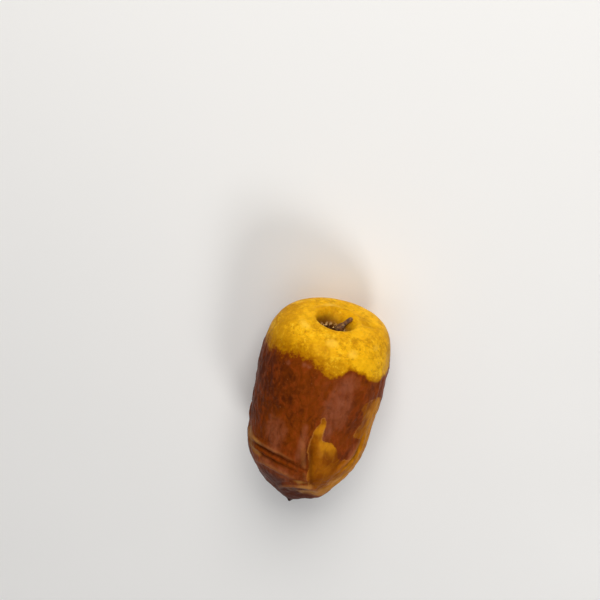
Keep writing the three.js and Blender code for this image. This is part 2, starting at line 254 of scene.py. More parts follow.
class DateShape(bpy.types.PropertyGroup):
    """Sizes of the finer forms, which the barrel carries on top of its folds"""
    wrinkle_height: bpy.props.FloatProperty(
        name="Fine wrinkles", description="Height of the fine wrinkles of the brown skin",
        default=0.11 * MM, min=0, unit="LENGTH")
    crease_height: bpy.props.FloatProperty(
        name="Creases", description="Depth of the creases between the small pillows of the brown skin",
        default=0.16 * MM, min=0, unit="LENGTH")
    pebble_height: bpy.props.FloatProperty(
        name="Pebbling", description="Height of the soft unevenness of the yellow skin",
        default=0.05 * MM, min=0, unit="LENGTH")
    tissue_height: bpy.props.FloatProperty(
        name="Torn tissue", description="Height of the torn tissue in the socket",
        default=0.32 * MM, min=0, unit="LENGTH")


class DateColours(bpy.types.PropertyGroup):
    """Colours of the ripening skin, as linear values"""
    yellow: bpy.props.FloatVectorProperty(
        name="Yellow", description="Bright yellow of the unripe end", subtype="COLOR",
        size=4, default=(0.75, 0.365, 0.004, 1))
    ochre: bpy.props.FloatVectorProperty(
        name="Ochre", description="Duller yellow between the bright patches", subtype="COLOR",
        size=4, default=(0.46, 0.20, 0.003, 1))
    olive: bpy.props.FloatVectorProperty(
        name="Olive", description="Yellow that is about to turn brown", subtype="COLOR",
        size=4, default=(0.42, 0.165, 0.001, 1))
    brown: bpy.props.FloatVectorProperty(
        name="Brown", description="Red-brown of the ripe skin", subtype="COLOR",
        size=4, default=(0.15, 0.0255, 0.0035, 1))
    deep: bpy.props.FloatVectorProperty(
        name="Deep brown", description="Darkest patches of the ripe skin", subtype="COLOR",
        size=4, default=(0.085, 0.016, 0.003, 1))
    warm: bpy.props.FloatVectorProperty(
        name="Warm brown", description="Orange-brown, where light gets under the skin", subtype="COLOR",
        size=4, default=(0.20, 0.038, 0.0018, 1))
    amber: bpy.props.FloatVectorProperty(
        name="Amber", description="Honey colour where the skin stands off the flesh", subtype="COLOR",
        size=4, default=(0.24, 0.060, 0.001, 1))
    mauve: bpy.props.FloatVectorProperty(
        name="Mauve", description="Dusky brown round the nib", subtype="COLOR",
        size=4, default=(0.085, 0.024, 0.014, 1))
    # Pale tan skin, with painted highlight along some ridges
    straw_and_highlight: bpy.props.FloatVectorProperty(
        name="Straw", description="Pale tan of folded skin", subtype="COLOR",
        size=4, default=(0.45, 0.20, 0.045, 1))


class StageSettings(bpy.types.PropertyGroup):
    """Table and light"""
    table_width: bpy.props.FloatProperty(
        name="Table width", description="Side of the square pale table",
        default=3.0, min=0.2, unit="LENGTH")
    key_power: bpy.props.FloatProperty(
        name="Key light", description="Power of the large light on the stalk end's side",
        default=3.0, min=0, subtype="POWER")
    top_power: bpy.props.FloatProperty(
        name="Tip light", description="Power of the light on the tip's side, which gives the sheen",
        default=1.15, min=0, subtype="POWER")
    fill_power: bpy.props.FloatProperty(
        name="Fill light", description="Power of the wide light overhead",
        default=0.7, min=0, subtype="POWER")
    room_light: bpy.props.FloatProperty(
        name="Room light", description="Brightness of the pale room round the table",
        default=0.1, min=0)


def smoothstep(low, high, value):
    """From 0 at low to 1 at high, with soft ends."""
    share = np.clip((value - low) / (high - low), 0, 1)
    return share * share * (3 - 2 * share)


def bell(distance):
    """1 in the middle, and nearly 0 from a distance of 2."""
    return np.exp(-distance * distance)


def turn_between(round_, middle):
    """Degrees from one place round the fruit to another, from -180 to 180."""
    return (round_ - middle + 180) % 360 - 180


def barrel_radius(y):
    """Half width of the bare barrel at y mm from the stalk pole."""
    middle = TIP_STARTS_AT * FRUIT_LENGTH
    stalk_side = y < middle
    reach = np.where(stalk_side, (middle - y) / middle, (y - middle) / (FRUIT_LENGTH - middle))
    along = np.where(stalk_side, STALK_END_SQUARENESS, TIP_ROUNDING_ALONG)
    across = np.where(stalk_side, STALK_END_SQUARENESS, TIP_ROUNDING_ACROSS)
    full = FRUIT_RADIUS * np.maximum(0, 1 - np.abs(reach) ** along) ** (1 / across)
    return full * (1 - TAPER * (y / FRUIT_LENGTH - 0.5))


def make_meridian(steps=2000):
    """Length of skin from the stalk pole, radius and y, with steps that crowd towards both poles."""
    share = np.linspace(0, 1, steps + 1)
    y = FRUIT_LENGTH * np.where(share < 0.5, 0.5 * (2 * share) ** 8, 1 - 0.5 * (2 - 2 * share) ** 2)
    radius = barrel_radius(y)
    radius[0] = radius[-1] = 0
    along = np.concatenate([[0], np.cumsum(np.hypot(np.diff(radius), np.diff(y)))])
    return along, radius, y


meridian_along, meridian_radius, meridian_y = make_meridian()
skin_length = float(meridian_along[-1])


def bare_skin(along, round_):
    """Points and outward directions of the bare barrel, in mm, and its radius there."""
    row = np.clip(np.searchsorted(meridian_along, along, side="right") - 1, 0, len(meridian_along) - 2)
    span = meridian_along[row + 1] - meridian_along[row]
    share = np.clip((along - meridian_along[row]) / span, 0, 1)
    radius = meridian_radius[row] + share * (meridian_radius[row + 1] - meridian_radius[row])
    y = meridian_y[row] + share * (meridian_y[row + 1] - meridian_y[row])
    out_radial = (meridian_y[row + 1] - meridian_y[row]) / span
    out_axial = (meridian_radius[row] - meridian_radius[row + 1]) / span
    angle = round_ * DEGREE
    station = y / FRUIT_LENGTH - 0.5
    shift = BOW * (station * station - 0.083) + SWAY * station ** 3
    point = np.stack([
        -radius * np.sin(angle) - shift,
        y - FRUIT_LENGTH / 2,
        radius * np.cos(angle) * HEIGHT_SHARE,
    ], -1)
    outward = np.stack([-out_radial * np.sin(angle), out_axial + 0 * angle, out_radial * np.cos(angle)], -1)
    return point, outward, radius


def fraction(index, stride):
    """A value from 0 to 1 that jumps about evenly from one index to the next."""
    return (index * stride) % 1


def long_wrinkles():
    """Wrinkles along the sides that face down and away, spread by even steps with a drift."""
    kind = LONG_WRINKLE
    for i in range(kind["count"]):
        round_ = WRINKLES_FROM + WRINKLES_SPAN * (i + 0.5) / kind["count"]
        start = kind["start"] + kind["start_spread"] * fraction(i, 0.618)
        end = kind["end"] + kind["end_spread"] * fraction(i, 0.382)
        drift = kind["drift"] * (fraction(i, 0.271) - 0.5)
        yield (
            (start, round_ + drift),
            ((start + end) / 2, round_ - kind["bend"] * drift),
            (end, round_ + drift / 2),
            kind["width"] + kind["width_spread"] * fraction(i, 0.447),
            kind["height"] + kind["height_spread"] * fraction(i, 0.557),
            kind["step"] * (fraction(i, 0.731) - 0.5),
        )


def cross_wrinkles():
    """Short wrinkles that run slanting from one long wrinkle to the next."""
    kind = CROSS_WRINKLE
    for i in range(kind["count"]):
        round_ = WRINKLES_FROM + WRINKLES_SPAN * (i + 0.3) / kind["count"]
        start = kind["start"] + kind["start_spread"] * fraction(i, 0.618)
        slant = kind["slant"] * (fraction(i, 0.414) - 0.3)
        yield (
            (start, round_),
            (start + slant, round_ + kind["bend_at"]),
            (start + 1.5 * slant, round_ + kind["end_at"]),
            kind["width"],
            kind["height"] + kind["height_spread"] * fraction(i, 0.872),
            0,
        )


def route(start, bend, end, steps=FOLD_STEPS):
    """Places along a bent line on the skin: points and outward directions."""
    t = np.linspace(0, 1, steps + 1)
    along, round_ = ((1 - t) ** 2 * start[k] + 2 * t * (1 - t) * bend[k] + t * t * end[k] for k in (0, 1))
    points, outward, _ = bare_skin(along, round_)
    return points, outward


def along_route(points, line, outward, reach):
    """For each point: distance to the line, how far down it, and on which side, within reach."""
    best = np.full(len(points), reach)
    share = np.zeros(len(points))
    side = np.zeros(len(points))
    for i in range(len(line) - 1):
        piece = line[i + 1] - line[i]
        step = np.clip((points - line[i]) @ piece / (piece @ piece), 0, 1)
        off = points - line[i] - step[:, None] * piece
        distance = np.linalg.norm(off, axis=1)
        nearer = distance < best
        best[nearer] = distance[nearer]
        share[nearer] = (i + step[nearer]) / (len(line) - 1)
        side[nearer] = np.sign(off[nearer] @ np.cross(piece, outward[i]))
    return best, share, side


def fold_height(fold, points):
    """Height of one fold: a ridge or a groove along a bent line, with a step from side to side."""
    start, bend, end, width, height, step = fold
    line, outward = route(start, bend, end)
    distance, share, side = along_route(points, line, outward, FOLD_REACH * width)
    scaled = distance / width
    fade = np.sin(np.pi * share) ** 0.6
    ridge = height * (1 - 1.1 * scaled ** 2) * bell(scaled)
    lift = step * side * np.tanh(2 * scaled) * bell(scaled / 1.6)
    return np.where(scaled < FOLD_REACH, fade * (ridge + lift), 0)


def place_reach(along, round_, radius, middle, half_sizes):
    """How far a place is from the middle of an oval patch, where 1 is its edge."""
    across_skin = turn_between(round_, middle[1]) * DEGREE * radius
    return np.hypot((along - middle[0]) / half_sizes[0], across_skin / half_sizes[1])


def relief(along, round_, points, radius):
    """Height of everything outside the socket and the nib, and of its folds alone."""
    crossing = sum(fold_height(wrinkle, points) for wrinkle in [*long_wrinkles(), *cross_wrinkles()])
    folds = sum(fold_height(fold, points) for fold in FOLDS.values())
    folds = folds + WRINKLE_LIMIT * np.tanh(crossing / WRINKLE_LIMIT)
    sunken = sum(
        depth * bell(place_reach(along, round_, radius, middle, half_sizes))
        for middle, half_sizes, depth in HOLLOWS.values()
    )
    angle = round_ * DEGREE
    dried = smoothstep(SLUMP_FROM, SLUMP_FULL, along)
    dried = dried * (1 - smoothstep(SLUMP_FADES_FROM, SLUMP_GONE_AT, along))
    slump = dried * SLUMP * np.sin(0.42 * along + 2 * angle) * np.sin(0.23 * along - 3 * angle + 1)
    return folds - sunken + slump, folds


def socket_depth(across, up):
    """How deep the socket and the dish round it are, and the depth as a share of the whole."""
    above = up - SOCKET_UP
    radius = np.hypot(across, above)
    steep = np.cos(np.arctan2(across, above) - SOCKET_STEEP_AT * DEGREE)
    floor = SOCKET_FLOOR + SOCKET_FLOOR_SHIFT * steep
    down = np.clip((SOCKET_RIM - radius) / (SOCKET_RIM - floor), 0, 1)
    sharp = np.sin(down * np.pi / 2)
    soft = smoothstep(0, 1, down)
    pit = SOCKET_DEPTH * (soft + (sharp - soft) * (0.5 + 0.5 * steep))
    lip = SOCKET_LIP * bell((radius - SOCKET_RIM - LIP_OUTSIDE_RIM) / LIP_WIDTH)
    return pit - lip + FACE_DISH * bell(radius / FACE_DISH_RADIUS), pit / SOCKET_DEPTH


def nib_height(across, up):
    """How far the nib and its skirt stand out, and the distance in mm from the nib's middle."""
    distance = np.hypot(across, up - NIB_UP)
    skirt = NIB_SKIRT_HEIGHT * bell(distance / NIB_SKIRT_RADIUS)
    return NIB_HEIGHT * bell(distance / NIB_RADIUS) + skirt, distance


def field(points, size, seed, detail=2):
    """Soft noise from about -1 to 1 at points in mm, with lumps of the given size in mm."""
    offset = Vector((seed * 17.3, seed * 5.7, seed * 11.9))
    return np.array([
        noise.fractal(Vector(p) / size + offset, 1.0, 2.0, detail, noise_basis="PERLIN_ORIGINAL")
        for p in points
    ])


def ring_curve(round_, rows, column):
    """A smooth closed curve round the fruit through the given rows, whose first entry is the angle."""
    angles = np.array([row[0] for row in rows], float)
    values = np.array([row[column] for row in rows], float)
    slopes = (np.roll(values, -1) - np.roll(values, 1)) / ((np.roll(angles, -1) - np.roll(angles, 1)) % 360)
    turned = (round_ - angles[0]) % 360
    row = np.searchsorted(angles - angles[0], turned, side="right") - 1
    after = (row + 1) % len(rows)
    gap = (angles[after] - angles[row]) % 360
    t = (turned - (angles[row] - angles[0])) / gap
    start, end = values[row], values[after]
    start_slope, end_slope = slopes[row] * gap, slopes[after] * gap
    return (
        start * (2 * t ** 3 - 3 * t ** 2 + 1) + start_slope * (t ** 3 - 2 * t ** 2 + t)
        + end * (3 * t ** 2 - 2 * t ** 3) + end_slope * (t ** 3 - t ** 2)
    )


# Honey-coloured skin that stands off the flesh, as closed outlines of (mm along, degrees round)
AMBER_OUTLINES = (
    (
        (23.6, 10), (24.8, 14), (27.0, 14.6), (29.2, 13.2), (29.5, 24), (31.6, 30), (34.6, 38), (35.0, 47),
        (34.0, 56), (31.8, 60), (30.4, 58), (29.6, 47), (28.2, 46), (25.6, 52), (23.6, 47), (22.1, 42),
        (21.0, 50), (21.4, 70), (24, 84), (31, 90), (38, 84), (44, 70), (47.0, 52), (46.4, 30), (43.6, 19),
        (40.4, 12), (36.5, 8.6), (33.5, 5.6), (31.0, 3.6), (28.6, 4.2), (26.2, 7),
    ),
    ((32, 140), (35, 132), (39, 138), (41, 150), (38, 160), (34, 156)),
    ((23, -158), (26, -150), (33, -152), (35, -146), (29, -140), (24, -146)),
    ((42, -150), (44, -138), (47, -128), (46, -150), (44, -160)),
)

# Patches of each kind: how soft their edges are, then for each oval its middle as (mm along, degrees round)
# and its half sizes in mm along and round
PATCHES = {
    "ochre": (0.6, (
        ((12.6, -60), (3.0, 4.4)), ((10.5, -76), (3, 3)), ((5.4, 100), (1.4, 2.2)),
        ((8.4, -4), (1.4, 2)), ((12.8, 8), (1.5, 2.2)), ((8.6, 26), (1.6, 1.6)), ((14, 100), (3, 4)),
        ((13, -120), (3, 5)), ((12, 160), (2.5, 4)), ((9.5, -95), (2.4, 4)),
    )),
    # On the yellow skin partly lemon-bright skin and partly painted highlight; on the honey skin painted
    # light where it is lit through
    "bright": (0.6, (
        ((8.0, -30), (2.4, 4)), ((9.2, 13), (2.2, 2.6)), ((10.6, 40), (2.6, 3.6)),
        ((12.6, 30), (1.6, 2)), ((13.4, 54), (2, 3)), ((5.4, 60), (2, 3)), ((37, 70), (6, 3.4)),
        ((42, 58), (3.4, 3)), ((30, 76), (7, 3)), ((24, 74), (3, 3)), ((30.4, 22), (2.6, 2)),
        ((26.8, 11), (1.6, 1)), ((36.5, -74), (2.4, 2.4)), ((5.2, -60), (2, 3)), ((9, 130), (3, 4)),
        ((10, -165), (3, 4)), ((7, 180), (2.2, 6)),
    )),
    "deep": (0.6, (
        ((24.2, -38), (3, 2)), ((24.0, 38), (3, 2.2)), ((20, -56), (5, 7)), ((28, -58), (5, 3)),
        ((34, 2), (3, 0.5)), ((30, -88), (6, 4)), ((26, 96), (5, 3)), ((28, -178), (6, 3)),
        ((38, 120), (4, 3)),
    )),
    "warm": (0.6, (
        ((17, -4), (3, 4)), ((20, 0), (5, 3)), ((30, -46), (4, 5)), ((34, -60), (2.4, 4)),
        ((25.5, -2), (4, 2.4)), ((29.4, -16), (4, 2)), ((16.6, 42), (2, 5)), ((26.5, -32), (2, 3.4)),
        ((30, 36), (2.4, 2.6)), ((37.2, -30), (0.7, 6)), ((28, 110), (7, 2.4)), ((34, 176), (6, 4)),
        ((22, -168), (4, 3)), ((32, -112), (6, 3)), ((42, -100), (4, 3)), ((41, 0), (1.6, 1.4)),
    )),
    # Partly the waxy film of the skin and partly painted sheen; the tiny ovals by the yellow end are
    # painted glints
    "bloom_and_sheen": (0.6, (
        ((22.5, 20), (4.2, 2.2)), ((26.4, 16), (2.6, 1.2)), ((17, 24), (2, 2)),
        ((31.6, -31), (3.4, 2.0)), ((39.6, -34), (1.4, 6)), ((41.6, -20), (2.6, 3)),
        ((31, -3.5), (4, 0.6)), ((34, 52), (2.4, 1)), ((15.3, -34.5), (0.4, 0.45)),
        ((14.2, -14.5), (0.4, 0.5)), ((14.2, -19), (0.45, 0.4)), ((30, 130), (7, 2.6)),
        ((24, -104), (6, 2.4)), ((38, 168), (5, 3)), ((44, -60), (3, 4)),
    )),
    "mauve": (0.45, (
        ((46.5, -2), (4.6, 4.6)), ((50.5, 10), (4.5, 5)), ((43.5, -26), (3, 3)), ((48, -70), (4, 5)),
        ((50, 130), (4, 5)),
    )),
    # Painted glints: small pale spots of highlight on the yellow skin
    "painted_glint": (0.7, (
        ((8.6, -0.8), (0.8, 1.1)), ((10.0, 57), (0.6, 0.9)), ((10.4, 24), (0.7, 1.0)),
        ((7.2, -52), (0.7, 1.2)), ((4.9, -155), (0.6, 1.5)), ((11, 118), (0.7, 1.0)),
        ((9, -118), (0.8, 0.9)),
    )),
    # Pale tan skin by the left side, and painted highlight along the ridges at the amber edge and the
    # pucker
    "straw_and_highlight": (0.6, (
        ((36.6, -68), (1.7, 2.2)), ((38.4, -56), (0.7, 2.4)), ((35.8, -54), (0.5, 1.6)),
        ((40.7, 4), (0.5, 1.1)), ((45.2, 31), (1.1, 4.4)), ((44.9, 50), (0.8, 3)),
        ((42.2, 11.5), (0.7, 1.2)),
    )),
}


def outline_depth(along, round_, radius, outline):
    """Distance in mm from the edge of a closed outline on the unrolled skin, above 0 inside it."""
    corners = np.array(outline, float)
    for _ in range(CORNER_CUTS):
        before = np.roll(corners, 1, axis=0)
        halves = (0.75 * before + 0.25 * corners, 0.25 * before + 0.75 * corners)
        corners = np.stack(halves, 1).reshape(-1, 2)
    middle = corners[0, 1]
    down = corners[:, 0]
    corner_radius = np.interp(down, meridian_along, meridian_radius)
    sideways = turn_between(corners[:, 1], middle) * DEGREE * corner_radius
    place = turn_between(round_, middle) * DEGREE * radius
    inside = np.zeros(len(along), bool)
    nearest = np.full(len(along), np.inf)
    for i in range(len(corners)):
        step_down, step_side = down[i] - down[i - 1], sideways[i] - sideways[i - 1]
        from_down, from_side = along - down[i - 1], place - sideways[i - 1]
        crossing = (down[i] > along) != (down[i - 1] > along)
        if step_down:
            inside ^= crossing & (from_side < step_side * from_down / step_down)
        length_squared = step_down ** 2 + step_side ** 2
        share = np.clip((from_down * step_down + from_side * step_side) / length_squared, 0, 1)
        distance = np.hypot(from_down - share * step_down, from_side - share * step_side)
        nearest = np.minimum(nearest, distance)
    return np.where(inside, nearest, -nearest)


def patches(along, round_, radius, ragged, places, softness):
    """One where any oval patch covers the skin, fading over its uneven edge."""
    cover = np.zeros_like(along)
    for middle, half_sizes in places:
        reach = place_reach(along, round_, radius, middle, half_sizes) + PATCH_RAGGEDNESS * ragged
        cover = np.maximum(cover, 1 - smoothstep(1 - softness, 1 + softness, reach))
    return cover


def rest_matrix():
    """The turn from the fruit's own axes to how it lies."""
    return Euler((REST_PITCH * DEGREE, 0, 0)).to_matrix()


def rest_shift(points):
    """The move in mm that brings turned points to the solid's middle and top."""
    low, high = (np.array(corner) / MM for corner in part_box("date_fruit"))
    shift = (low + high) / 2 - (points.min(0) + points.max(0)) / 2
    shift[2] = high[2] - points[:, 2].max()
    return shift


def new_object(name, mesh, material):
    """A piece of the date with its one material, which stays with the date's body."""
    piece = bpy.data.objects.new(name, mesh)
    bpy.context.scene.collection.objects.link(piece)
    mesh.materials.append(material)
    mesh.shade_smooth()
    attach(piece, "root")
    return piece


class Nodes:
    """Short calls that build a node material."""

    def __init__(self, name):
        self.material = bpy.data.materials.new(name)
        self.material.use_nodes = True
        self.tree = self.material.node_tree
        self.shader = self.tree.nodes["Principled BSDF"]
        self.place = self.tree.nodes.new("ShaderNodeTexCoord").outputs["Object"]

    def put(self, socket, value):
        """Links another node's socket to this one, or sets its value."""
        if isinstance(value, bpy.types.NodeSocket):
            self.tree.links.new(value, socket)
        else:
            socket.default_value = value

    def attribute(self, name):
        node = self.tree.nodes.new("ShaderNodeAttribute")
        node.attribute_name = name
        return node.outputs["Fac"]

    def times(self, value, share):
        """The value, or the named attribute of the skin, at a share of its strength."""
        return self.math("MULTIPLY", self.attribute(value) if isinstance(value, str) else value, share)

    def noise(self, scale, detail=3, roughness=0.55, stretch=None, distortion=0.0):
        node = self.tree.nodes.new("ShaderNodeTexNoise")
        place = self.place
        if stretch:
            mapping = self.tree.nodes.new("ShaderNodeMapping")
            mapping.inputs["Scale"].default_value = stretch
            self.put(mapping.inputs["Vector"], place)
            place = mapping.outputs["Vector"]
        self.put(node.inputs["Vector"], place)
        node.inputs["Scale"].default_value = scale
        node.inputs["Detail"].default_value = detail
        node.inputs["Roughness"].default_value = roughness
        node.inputs["Distortion"].default_value = distortion
        return node.outputs["Fac"]

    def cells(self, scale):
        node = self.tree.nodes.new("ShaderNodeTexVoronoi")
        self.put(node.inputs["Vector"], self.place)
        node.inputs["Scale"].default_value = scale
        return node.outputs["Distance"]

    def map(self, value, from_low, from_high, to_low=0.0, to_high=1.0, smooth=True):
        """The value, taken from one range to another and held at the ends."""
        node = self.tree.nodes.new("ShaderNodeMapRange")
        node.interpolation_type = "SMOOTHSTEP" if smooth else "LINEAR"
        ends = {"From Min": from_low, "From Max": from_high, "To Min": to_low, "To Max": to_high}
        for name, number in ends.items():
            node.inputs[name].default_value = number
        self.put(node.inputs["Value"], value)
        return node.outputs["Result"]

    def math(self, operation, a, b):
        node = self.tree.nodes.new("ShaderNodeMath")
        node.operation = operation
        self.put(node.inputs[0], a)
        self.put(node.inputs[1], b)
        return node.outputs["Value"]

    def mix(self, share, a, b):
        """Colour a, with colour b laid over it by the share."""
        node = self.tree.nodes.new("ShaderNodeMix")
        node.data_type = "RGBA"
        self.put(node.inputs["Factor"], share)
        self.put(node.inputs["A"], a)
        self.put(node.inputs["B"], b)
        return node.outputs["Result"]

    def bump(self, height, distance, strength, normal=None):
        node = self.tree.nodes.new("ShaderNodeBump")
        self.put(node.inputs["Height"], height)
        node.inputs["Distance"].default_value = distance
        self.put(node.inputs["Strength"], strength)
        if normal:
            self.put(node.inputs["Normal"], normal)
        return node.outputs["Normal"]


def yellow_skin(n, colours):
    """Unripe skin: bright and ochre clouds, fine mottling and darker pores, with painted highlights and
    glints.
    """
    mottle = n.noise(560, 5, 0.7)
    stipple = n.noise(1300, 4, 0.7)
    colour = n.mix(n.map(n.noise(150, 3, 0.55), 0.42, 0.62, 0, 0.3), colours.yellow, colours.ochre)
    colour = n.mix(n.times("ochre", 0.6), colour, colours.ochre)
    # Bright patches: partly lemon-bright skin and partly painted highlight
    colour = n.mix(n.times("bright", 0.75), colour, SHADES["light yellow"])
    colour = n.mix(n.map(mottle, 0.48, 0.64, 0, 0.45), colour, colours.ochre)
    colour = n.mix(n.map(mottle, 0.46, 0.34, 0, 0.55), colour, SHADES["light mottle"])
    busy = n.map(n.noise(190, 2), 0.38, 0.60, 0.35, 1)
    colour = n.mix(n.times(n.map(stipple, 0.50, 0.62, 0, 0.5), busy), colour, SHADES["dark stipple"])
    colour = n.mix(n.times(n.map(stipple, 0.46, 0.36, 0, 0.5), busy), colour, SHADES["light stipple"])
    # Painted glints
    colour = n.mix(n.times("painted_glint", 0.5), colour, SHADES["painted_glint"])
    pores = n.map(n.cells(1300), 0.05, 0.30, 1, 0)
    pores = n.times(pores, n.map(n.noise(380, 2), 0.46, 0.60))
    colour = n.mix(n.times(pores, 0.35), colour, SHADES["pore"])
    grain = n.math("ADD", n.times(pores, -0.7), mottle)
    return colour, grain


def brown_skin(n, colours):
    """Ripe skin: red-brown with deep, warm and dusky places, honey panels and pale tops of folds, with
    painted sheen, highlights and shade.
    """
    clouds = n.noise(150, 4, 0.6, stretch=(1, 0.6, 1))
    streaks = n.noise(420, 4, 0.6, stretch=(1, 0.35, 1), distortion=0.5)
    marbling = n.noise(640, 4, 0.65, stretch=(1, 0.5, 1), distortion=1.0)
    colour = n.mix(n.map(clouds, 0.42, 0.60, 0, 0.7), colours.brown, colours.warm)
    colour = n.mix(n.times("warm", 0.8), colour, colours.warm)
    colour = n.mix(n.times("deep", 0.6), colour, colours.deep)
    colour = n.mix(n.map(streaks, 0.50, 0.64, 0, 0.25), colour, colours.deep)
    colour = n.mix(n.map(marbling, 0.49, 0.60, 0, 0.6), colour, SHADES["light marbling"])
    colour = n.mix(n.map(marbling, 0.46, 0.36, 0, 0.5), colour, SHADES["dark marbling"])
    colour = n.mix(n.map(n.noise(1100, 3, 0.6), 0.52, 0.66, 0, 0.3), colour, SHADES["fine fleck"])
    # Waxy film and painted sheen, uneven with the marbling
    bloom_and_sheen_cover = n.times("bloom_and_sheen", n.map(marbling, 0.36, 0.6, 0.45, 0.95))
    colour = n.mix(bloom_and_sheen_cover, colour, SHADES["bloom_and_sheen"])
    colour = n.mix(n.times("mauve", 0.9), colour, colours.mauve)
    # Pale dots: partly warts of the skin and partly painted glints on them
    specks_and_glints = n.times(n.map(n.cells(640), 0.04, 0.11, 1, 0), n.map(n.noise(300, 1), 0.52, 0.62))
    colour = n.mix(n.times(specks_and_glints, 0.45), colour, SHADES["speck_and_glint"])

    honey = n.mix(n.map(n.noise(230, 3), 0.42, 0.62), colours.amber, SHADES["light honey"])
    # Painted light where the honey skin is lit through
    honey = n.mix(n.times("bright", 0.85), honey, SHADES["sunlit honey"])
    honey = n.mix(n.map(streaks, 0.48, 0.66, 0, 0.5), honey, SHADES["honey streak"])
    honey = n.mix(n.map(marbling, 0.50, 0.64, 0, 0.35), honey, SHADES["honey marbling"])
    torn = n.math("ADD", n.attribute("amber"), n.map(n.noise(900, 3, 0.6), 0, 1, -0.2, 0.2))
    colour = n.mix(n.map(torn, 0.34, 0.66), colour, honey)
    # Pale line along the edges of the honey skin: partly its paler border and partly painted highlight on
    # the edge ridge
    rim_and_highlight = n.times(n.map(torn, 0.38, 0.50), n.map(torn, 0.66, 0.54))
    rim_and_highlight = n.times(rim_and_highlight, n.map(n.noise(260, 2), 0.44, 0.56, 0, 0.45))
    colour = n.mix(rim_and_highlight, colour, SHADES["honey rim and highlight"])

    # Tops of folds paler, partly thinner skin and partly painted highlight; painted shade at the feet of
    # folds and in the fine creases
    fold = n.attribute("fold")
    colour = n.mix(n.map(fold, 0.05, 0.30, 0, 0.42), colour, SHADES["fold top and highlight"])
    colour = n.mix(n.map(fold, -0.05, -0.34, 0, 0.45), colour, SHADES["painted fold shade"])
    colour = n.mix(n.times("crease", 0.45), colour, SHADES["crease"])
    # Pale tan skin and painted highlight along ridges
    colour = n.mix(n.times("straw_and_highlight", 0.7), colour, colours.straw_and_highlight)
    return n.mix(n.attribute("nib"), colour, SHADES["nib"])


def skin_material(colours):
    """The skin of the whole fruit, from the yellow stalk end to the brown tip, with the torn socket."""
    n = Nodes("date_skin")
    tissue = n.attribute("tissue")
    yellow, grain = yellow_skin(n, colours)
    brown = brown_skin(n, colours)

    # The yellow turns brown through ochre, olive and orange
    ragged = n.map(n.noise(650, 5, 0.7), 0.2, 0.8, -0.2, 0.2, smooth=False)
    grainy = n.map(n.noise(1900, 3, 0.6), 0.2, 0.8, -0.16, 0.16, smooth=False)
    edge = n.math("ADD", n.math("ADD", n.attribute("ripeness"), ragged), grainy)
    turning = n.mix(n.map(edge, 0.14, 0.52), yellow, colours.olive)
    turning = n.mix(n.map(edge, 0.46, 0.72), turning, colours.warm)
    skin = n.mix(n.map(edge, 0.60, 0.90), turning, brown)

    # The socket's wall, darker deeper down with its own brown and painted shade, painted shade on its steep
    # side, and on its floor torn tissue with dark crumbs
    skin = n.mix(n.times("socket_darkening", 0.85), skin, SHADES["socket wall"])
    skin = n.mix(n.times("shade", 0.85), skin, SHADES["shaded wall"])
    shreds = n.mix(n.map(n.noise(1150, 4, 0.7), 0.48, 0.58), SHADES["dark tissue"], SHADES["pale tissue"])
    crumbs = n.mix(n.map(n.noise(2100, 3, 0.7), 0.50, 0.64), SHADES["dark crumb"], SHADES["light crumb"])
    shreds = n.mix(n.map(n.attribute("crumbs"), 0.3, 0.75), shreds, crumbs)
    skin = n.mix(tissue, skin, shreds)

    shader = n.shader
    n.put(shader.inputs["Base Color"], skin)
    rough = n.map(n.noise(330, 3), 0.3, 0.7, 0.36, 0.48)
    rough = n.math("SUBTRACT", rough, n.times("bloom_and_sheen", 0.08))
    rough = n.math("ADD", rough, n.times(tissue, 0.35))
    n.put(shader.inputs["Roughness"], rough)
    shader.inputs["IOR"].default_value = 1.4
    shader.inputs["Specular IOR Level"].default_value = 0.03
    shader.inputs["Subsurface Weight"].default_value = 0.1
    shader.inputs["Subsurface Radius"].default_value = (1.0, 0.35, 0.08)
    shader.inputs["Subsurface Scale"].default_value = 1.4 * MM

    creases = n.noise(650, 4, 0.6, stretch=(1, 0.55, 1), distortion=0.6)
    creases = n.math("ADD", creases, n.times(n.noise(2600, 2, 0.6), 0.25))
    height = n.mix(n.map(edge, 0.4, 0.7), grain, creases)
    normal = n.bump(height, 0.2 * MM, 0.75)
    normal = n.bump(n.noise(2200, 4, 0.7), 0.25 * MM, n.times(tissue, 0.8), normal)
    n.put(shader.inputs["Normal"], normal)
    return n.material


def scrap_material():
    """Dry dark fibre with a few pale strands, drawn out across the scrap."""
    n = Nodes("dry_stalk")
    strands = n.noise(900, 4, 0.65, stretch=(3, 0.6, 3))
    colour = n.mix(n.map(strands, 0.38, 0.62), SHADES["dark strand"], SHADES["brown strand"])
    colour = n.mix(n.map(n.noise(2200, 3), 0.56, 0.66, 0, 0.7), colour, SHADES["pale strand"])
    n.put(n.shader.inputs["Base Color"], colour)
    n.put(n.shader.inputs["Roughness"], n.map(strands, 0.3, 0.7, 0.6, 0.9))
    n.put(n.shader.inputs["Normal"], n.bump(strands, 0.15 * MM, 0.9))
    return n.material


def table_material():
    """Pale, nearly even grey without gloss."""
    n = Nodes("pale_table")
    cloudy = n.map(n.noise(3, 2), 0.3, 0.7)
    n.put(n.shader.inputs["Base Color"], n.mix(cloudy, SHADES["table"], SHADES["light table"]))
    n.put(n.shader.inputs["Roughness"], n.map(n.noise(40, 2), 0.3, 0.7, 0.5, 0.6))
    return n.material


